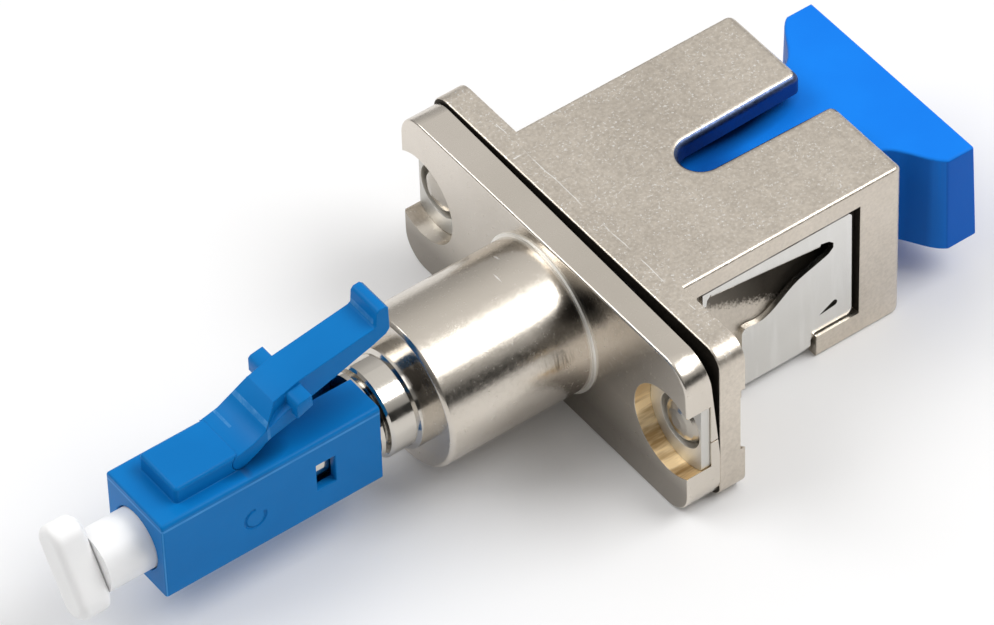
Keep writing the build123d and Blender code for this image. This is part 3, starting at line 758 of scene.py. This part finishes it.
def mergedCopy(nodeName):
    bpy.ops.object.select_all(action="DESELECT")
    piece = nodes[nodeName].copy()
    piece.data = nodes[nodeName].data.copy()
    piece.name = nodeName + "_dressed"
    piece.parent = None
    del piece["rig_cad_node"]
    bpy.context.scene.collection.objects.link(piece)
    bpy.context.view_layer.objects.active = piece
    piece.select_set(True)
    bpy.ops.mesh.customdata_custom_splitnormals_clear()
    bpy.ops.object.mode_set(mode="EDIT")
    bpy.ops.mesh.select_all(action="SELECT")
    bpy.ops.mesh.remove_doubles(threshold=mergeSettings["distance"] * mm)
    bpy.ops.mesh.dissolve_limited(angle_limit=math.radians(mergeSettings["flatAngle"]))
    bpy.ops.object.mode_set(mode="OBJECT")
    return piece


def softenEdges(piece, edge):
    bevel = piece.modifiers.new("softEdge", "BEVEL")
    bevel.width = edge["width"] * mm
    bevel.segments = edge["segments"]
    bevel.limit_method = "ANGLE"
    bevel.angle_limit = math.radians(edge["angle"])
    bevel.use_clamp_overlap = False
    bpy.ops.object.modifier_apply(modifier=bevel.name)


def pullBack(piece, nodeName):
    for vertex in piece.data.vertices:
        found, nearest, _, _ = nodes[nodeName].closest_point_on_mesh(vertex.co)
        if found and (vertex.co - nearest).length > furthestMove * mm:
            vertex.co = nearest


def finishCopy(piece, nodeName, smoothAngle):
    bpy.ops.object.shade_smooth_by_angle(angle=math.radians(smoothAngle))
    weight = piece.modifiers.new("flatFaces", "WEIGHTED_NORMAL")
    weight.keep_sharp = True
    bpy.ops.object.modifier_apply(modifier=weight.name)
    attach(piece, nodes[nodeName]["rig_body"])
    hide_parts(nodeName)


for nodeName, edge in softEdges.items():
    piece = mergedCopy(nodeName)
    softenEdges(piece, edge)
    pullBack(piece, nodeName)
    finishCopy(piece, nodeName, edge["angle"])
print("soft-edged copies made")


def fitPocket(piece, pocket):
    # the milled pocket is a little smaller and nearer the flange end than the node's
    ratio = pocket["radius"] / pocket["cadRadius"]
    nearest = (pocket["cadRadius"] - pocket["pickInside"]) * mm
    furthest = (pocket["cadRadius"] + pocket["pickOutside"]) * mm
    for vertex in piece.data.vertices:
        side = 1 if vertex.co.y > 0 else -1
        offY = vertex.co.y - side * pocket["cadY"] * mm
        radius = math.hypot(offY, vertex.co.z)
        if not nearest < radius < furthest or vertex.co.x < (pocket["face"] - pocket["pickAhead"]) * mm:
            continue
        endY = abs(vertex.co.y)
        if endY > pocket["cornerFrom"] * mm:  # on the flange's end the wall only closes in
            newOff = side * endY - side * pocket["y"] * mm
            newRadius = radius * ratio
            vertex.co.z = math.copysign(math.sqrt(newRadius ** 2 - newOff ** 2), vertex.co.z)
        else:
            vertex.co.y = side * pocket["y"] * mm + offY * ratio
            vertex.co.z = vertex.co.z * ratio


for nodeName in ("front_body", "pocket_ring_near", "pocket_ring_far"):
    piece = mergedCopy(nodeName)
    fitPocket(piece, pocketSettings)
    softenEdges(piece, pocketEdge)
    finishCopy(piece, nodeName, pocketEdge["angle"])
print("flange pockets fitted")


clipSlot = {
    "left": 9.5, "length": 1.05, "middle": -2.0, "turn": 18, "width": 0.5, "shift": (0.16, -0.2),
    "pickShare": 0.6, "plateSide": 5.9, "point": 0.12, "spread": 0.95, "smoothAngle": 30,
}


def fitClipSlot(piece, slot):
    # the small slot in the plate is a drop: pointed to the left and wide on the right
    turned = math.radians(slot["turn"])
    centreX = slot["left"] + slot["length"] / 2
    for vertex in piece.data.vertices:
        offX = vertex.co.x / mm - centreX
        offZ = vertex.co.z / mm - slot["middle"]
        along = offX * math.cos(turned) + offZ * math.sin(turned)
        across = offZ * math.cos(turned) - offX * math.sin(turned)
        if abs(along) > slot["length"] * slot["pickShare"] or abs(across) > slot["width"] * slot["pickShare"]:
            continue
        if abs(vertex.co.y) < slot["plateSide"] * mm:
            continue
        across *= slot["point"] + slot["spread"] * max(0.0, min(1.0, along / slot["length"] + 0.5))
        vertex.co.x = (centreX + along * math.cos(turned) - across * math.sin(turned) + slot["shift"][0]) * mm
        vertex.co.z = (slot["middle"] + along * math.sin(turned) + across * math.cos(turned) + slot["shift"][1]) * mm


clipCopy = mergedCopy("mounting_clip")
fitClipSlot(clipCopy, clipSlot)
finishCopy(clipCopy, "mounting_clip", clipSlot["smoothAngle"])
print("clip slot fitted")


springFold = {"joint": "ferrule_press", "fixedEnd": -13.8, "travel": 0.9, "smoothAngle": 40}
springCopy = mergedCopy("ferrule_spring")
finishCopy(springCopy, "ferrule_spring", springFold["smoothAngle"])
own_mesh(springCopy)


# floor

floorSettings = {
    "height": -4.85, "size": 1.6, "noiseScale": 40, "dark": (0.86, 0.86, 0.865), "light": (0.88, 0.88, 0.885),
    "rough": 0.55, "shine": 0.3,
}  # size in metres
bpy.ops.object.select_all(action="DESELECT")
bpy.ops.mesh.primitive_plane_add(size=floorSettings["size"], location=(0, 0, floorSettings["height"] * mm))
floor = bpy.context.object
floor.name = "paleFloor"
floorPaint = startMaterial("paleFloorPaint")
floorTree, floorShader, floorVector = partsOf(floorPaint)
floorNoise = noiseNode(floorTree, floorVector, floorSettings["noiseScale"])
floorTone = mixColour(floorTree, floorNoise, floorSettings["dark"], floorSettings["light"])
floorTree.links.new(floorTone, floorShader.inputs["Base Color"])
floorShader.inputs["Roughness"].default_value = floorSettings["rough"]
floorShader.inputs["Specular IOR Level"].default_value = floorSettings["shine"]
floor.data.materials.append(floorPaint)


# camera at the photograph's angle; its place is in metres

cameraSettings = {
    "place": (-0.1440154, -0.1978576, 0.2546092),
    "right": (0.80260, -0.59605, -0.02361),
    "up": (0.44393, 0.57040, 0.69107),
    "forward": (0.39844, 0.56513, -0.72240),
    "lens": 272.81, "sensor": 36.0, "sees": (0.01, 10.0),
}
cameraData = bpy.data.cameras.new("studioCamera")
cameraData.sensor_width = cameraSettings["sensor"]
cameraData.lens = cameraSettings["lens"]
cameraData.clip_start, cameraData.clip_end = cameraSettings["sees"]
studioCamera = bpy.data.objects.new("studioCamera", cameraData)
bpy.context.scene.collection.objects.link(studioCamera)
right = Vector(cameraSettings["right"]).normalized()
up = Vector(cameraSettings["up"]).normalized()
back = -Vector(cameraSettings["forward"]).normalized()
turn = Matrix((right, up, back)).transposed().to_4x4()
studioCamera.matrix_world = Matrix.Translation(cameraSettings["place"]) @ turn
bpy.context.scene.camera = studioCamera


# soft studio light: two sheets, a dark card, and a sky that darkens towards the horizon and away from the
# far right; distances and sizes in metres, angles in degrees

lightSettings = {
    "keySheet": {"azimuth": -32, "elevation": 52, "distance": 0.9, "width": 0.62, "height": 0.42, "radiance": 4.95},
    "farSheet": {"azimuth": 140, "elevation": 50, "distance": 0.9, "width": 0.6, "height": 0.4, "radiance": 3.6},
}
darkCard = {
    "azimuth": -75, "elevation": 8, "distance": 1.5, "width": 2.05, "height": 0.71, "tone": 0.05, "rough": 0.9,
}


def fromAngles(azimuth, elevation, distance):
    flat = distance * math.cos(math.radians(elevation))
    turned = math.radians(azimuth)
    return Vector((flat * math.cos(turned), flat * math.sin(turned), distance * math.sin(math.radians(elevation))))


for lightName, setting in lightSettings.items():
    lightData = bpy.data.lights.new(lightName, "AREA")
    lightData.shape = "RECTANGLE"
    lightData.size = setting["width"]
    lightData.size_y = setting["height"]
    lightData.energy = setting["radiance"] * math.pi * setting["width"] * setting["height"]
    lamp = bpy.data.objects.new(lightName, lightData)
    bpy.context.scene.collection.objects.link(lamp)
    lamp.location = fromAngles(setting["azimuth"], setting["elevation"], setting["distance"])
    lamp.rotation_euler = (-lamp.location).to_track_quat("-Z", "Y").to_euler()

cardPlace = fromAngles(darkCard["azimuth"], darkCard["elevation"], darkCard["distance"])
bpy.ops.object.select_all(action="DESELECT")
cardTurn = (-cardPlace).to_track_quat("Z", "Y").to_euler()
bpy.ops.mesh.primitive_plane_add(size=1.0, location=cardPlace, rotation=cardTurn)
card = bpy.context.object
card.name = "darkCard"
card.scale = (darkCard["width"], darkCard["height"], 1.0)
cardPaint = startMaterial("darkCardPaint")
cardShader = cardPaint.node_tree.nodes["Principled BSDF"]
cardShader.inputs["Base Color"].default_value = (darkCard["tone"], darkCard["tone"], darkCard["tone"], 1.0)
cardShader.inputs["Roughness"].default_value = darkCard["rough"]
card.data.materials.append(cardPaint)

skySettings = {
    "tint": (1.0, 0.99, 0.975, 1.0), "heights": (0.0, 0.38, 0.92), "tones": (0.24, 0.36, 0.80),
    "brightSide": (0.866, 0.5), "sideShadeShare": 0.2, "leastTone": 0.05,
}
world = bpy.data.worlds.new("studioWorld")
world.use_nodes = True
sky = world.node_tree
skyX, skyY, skyZ = axesOf(sky, addNode(sky, "ShaderNodeTexCoord").outputs["Generated"])
lowTone, midTone, highTone = skySettings["tones"]
skyLower = mapRange(sky, skyZ, skySettings["heights"][:2], (lowTone, midTone))
skyUpper = mapRange(sky, skyZ, skySettings["heights"][1:], (0.0, highTone - midTone))
shareX, shareY = (part * skySettings["sideShadeShare"] for part in skySettings["brightSide"])
skySide = plus(sky, times(sky, skyX, shareX), times(sky, skyY, shareY))
skyTone = plus(sky, plus(sky, skyLower, skyUpper), skySide)
background = sky.nodes["Background"]
sky.links.new(mathNode(sky, "MAXIMUM", skyTone, skySettings["leastTone"]), background.inputs["Strength"])
background.inputs["Color"].default_value = skySettings["tint"]
bpy.context.scene.world = world
bpy.context.scene.view_settings.view_transform = "Standard"
print("floor, camera and lights set")
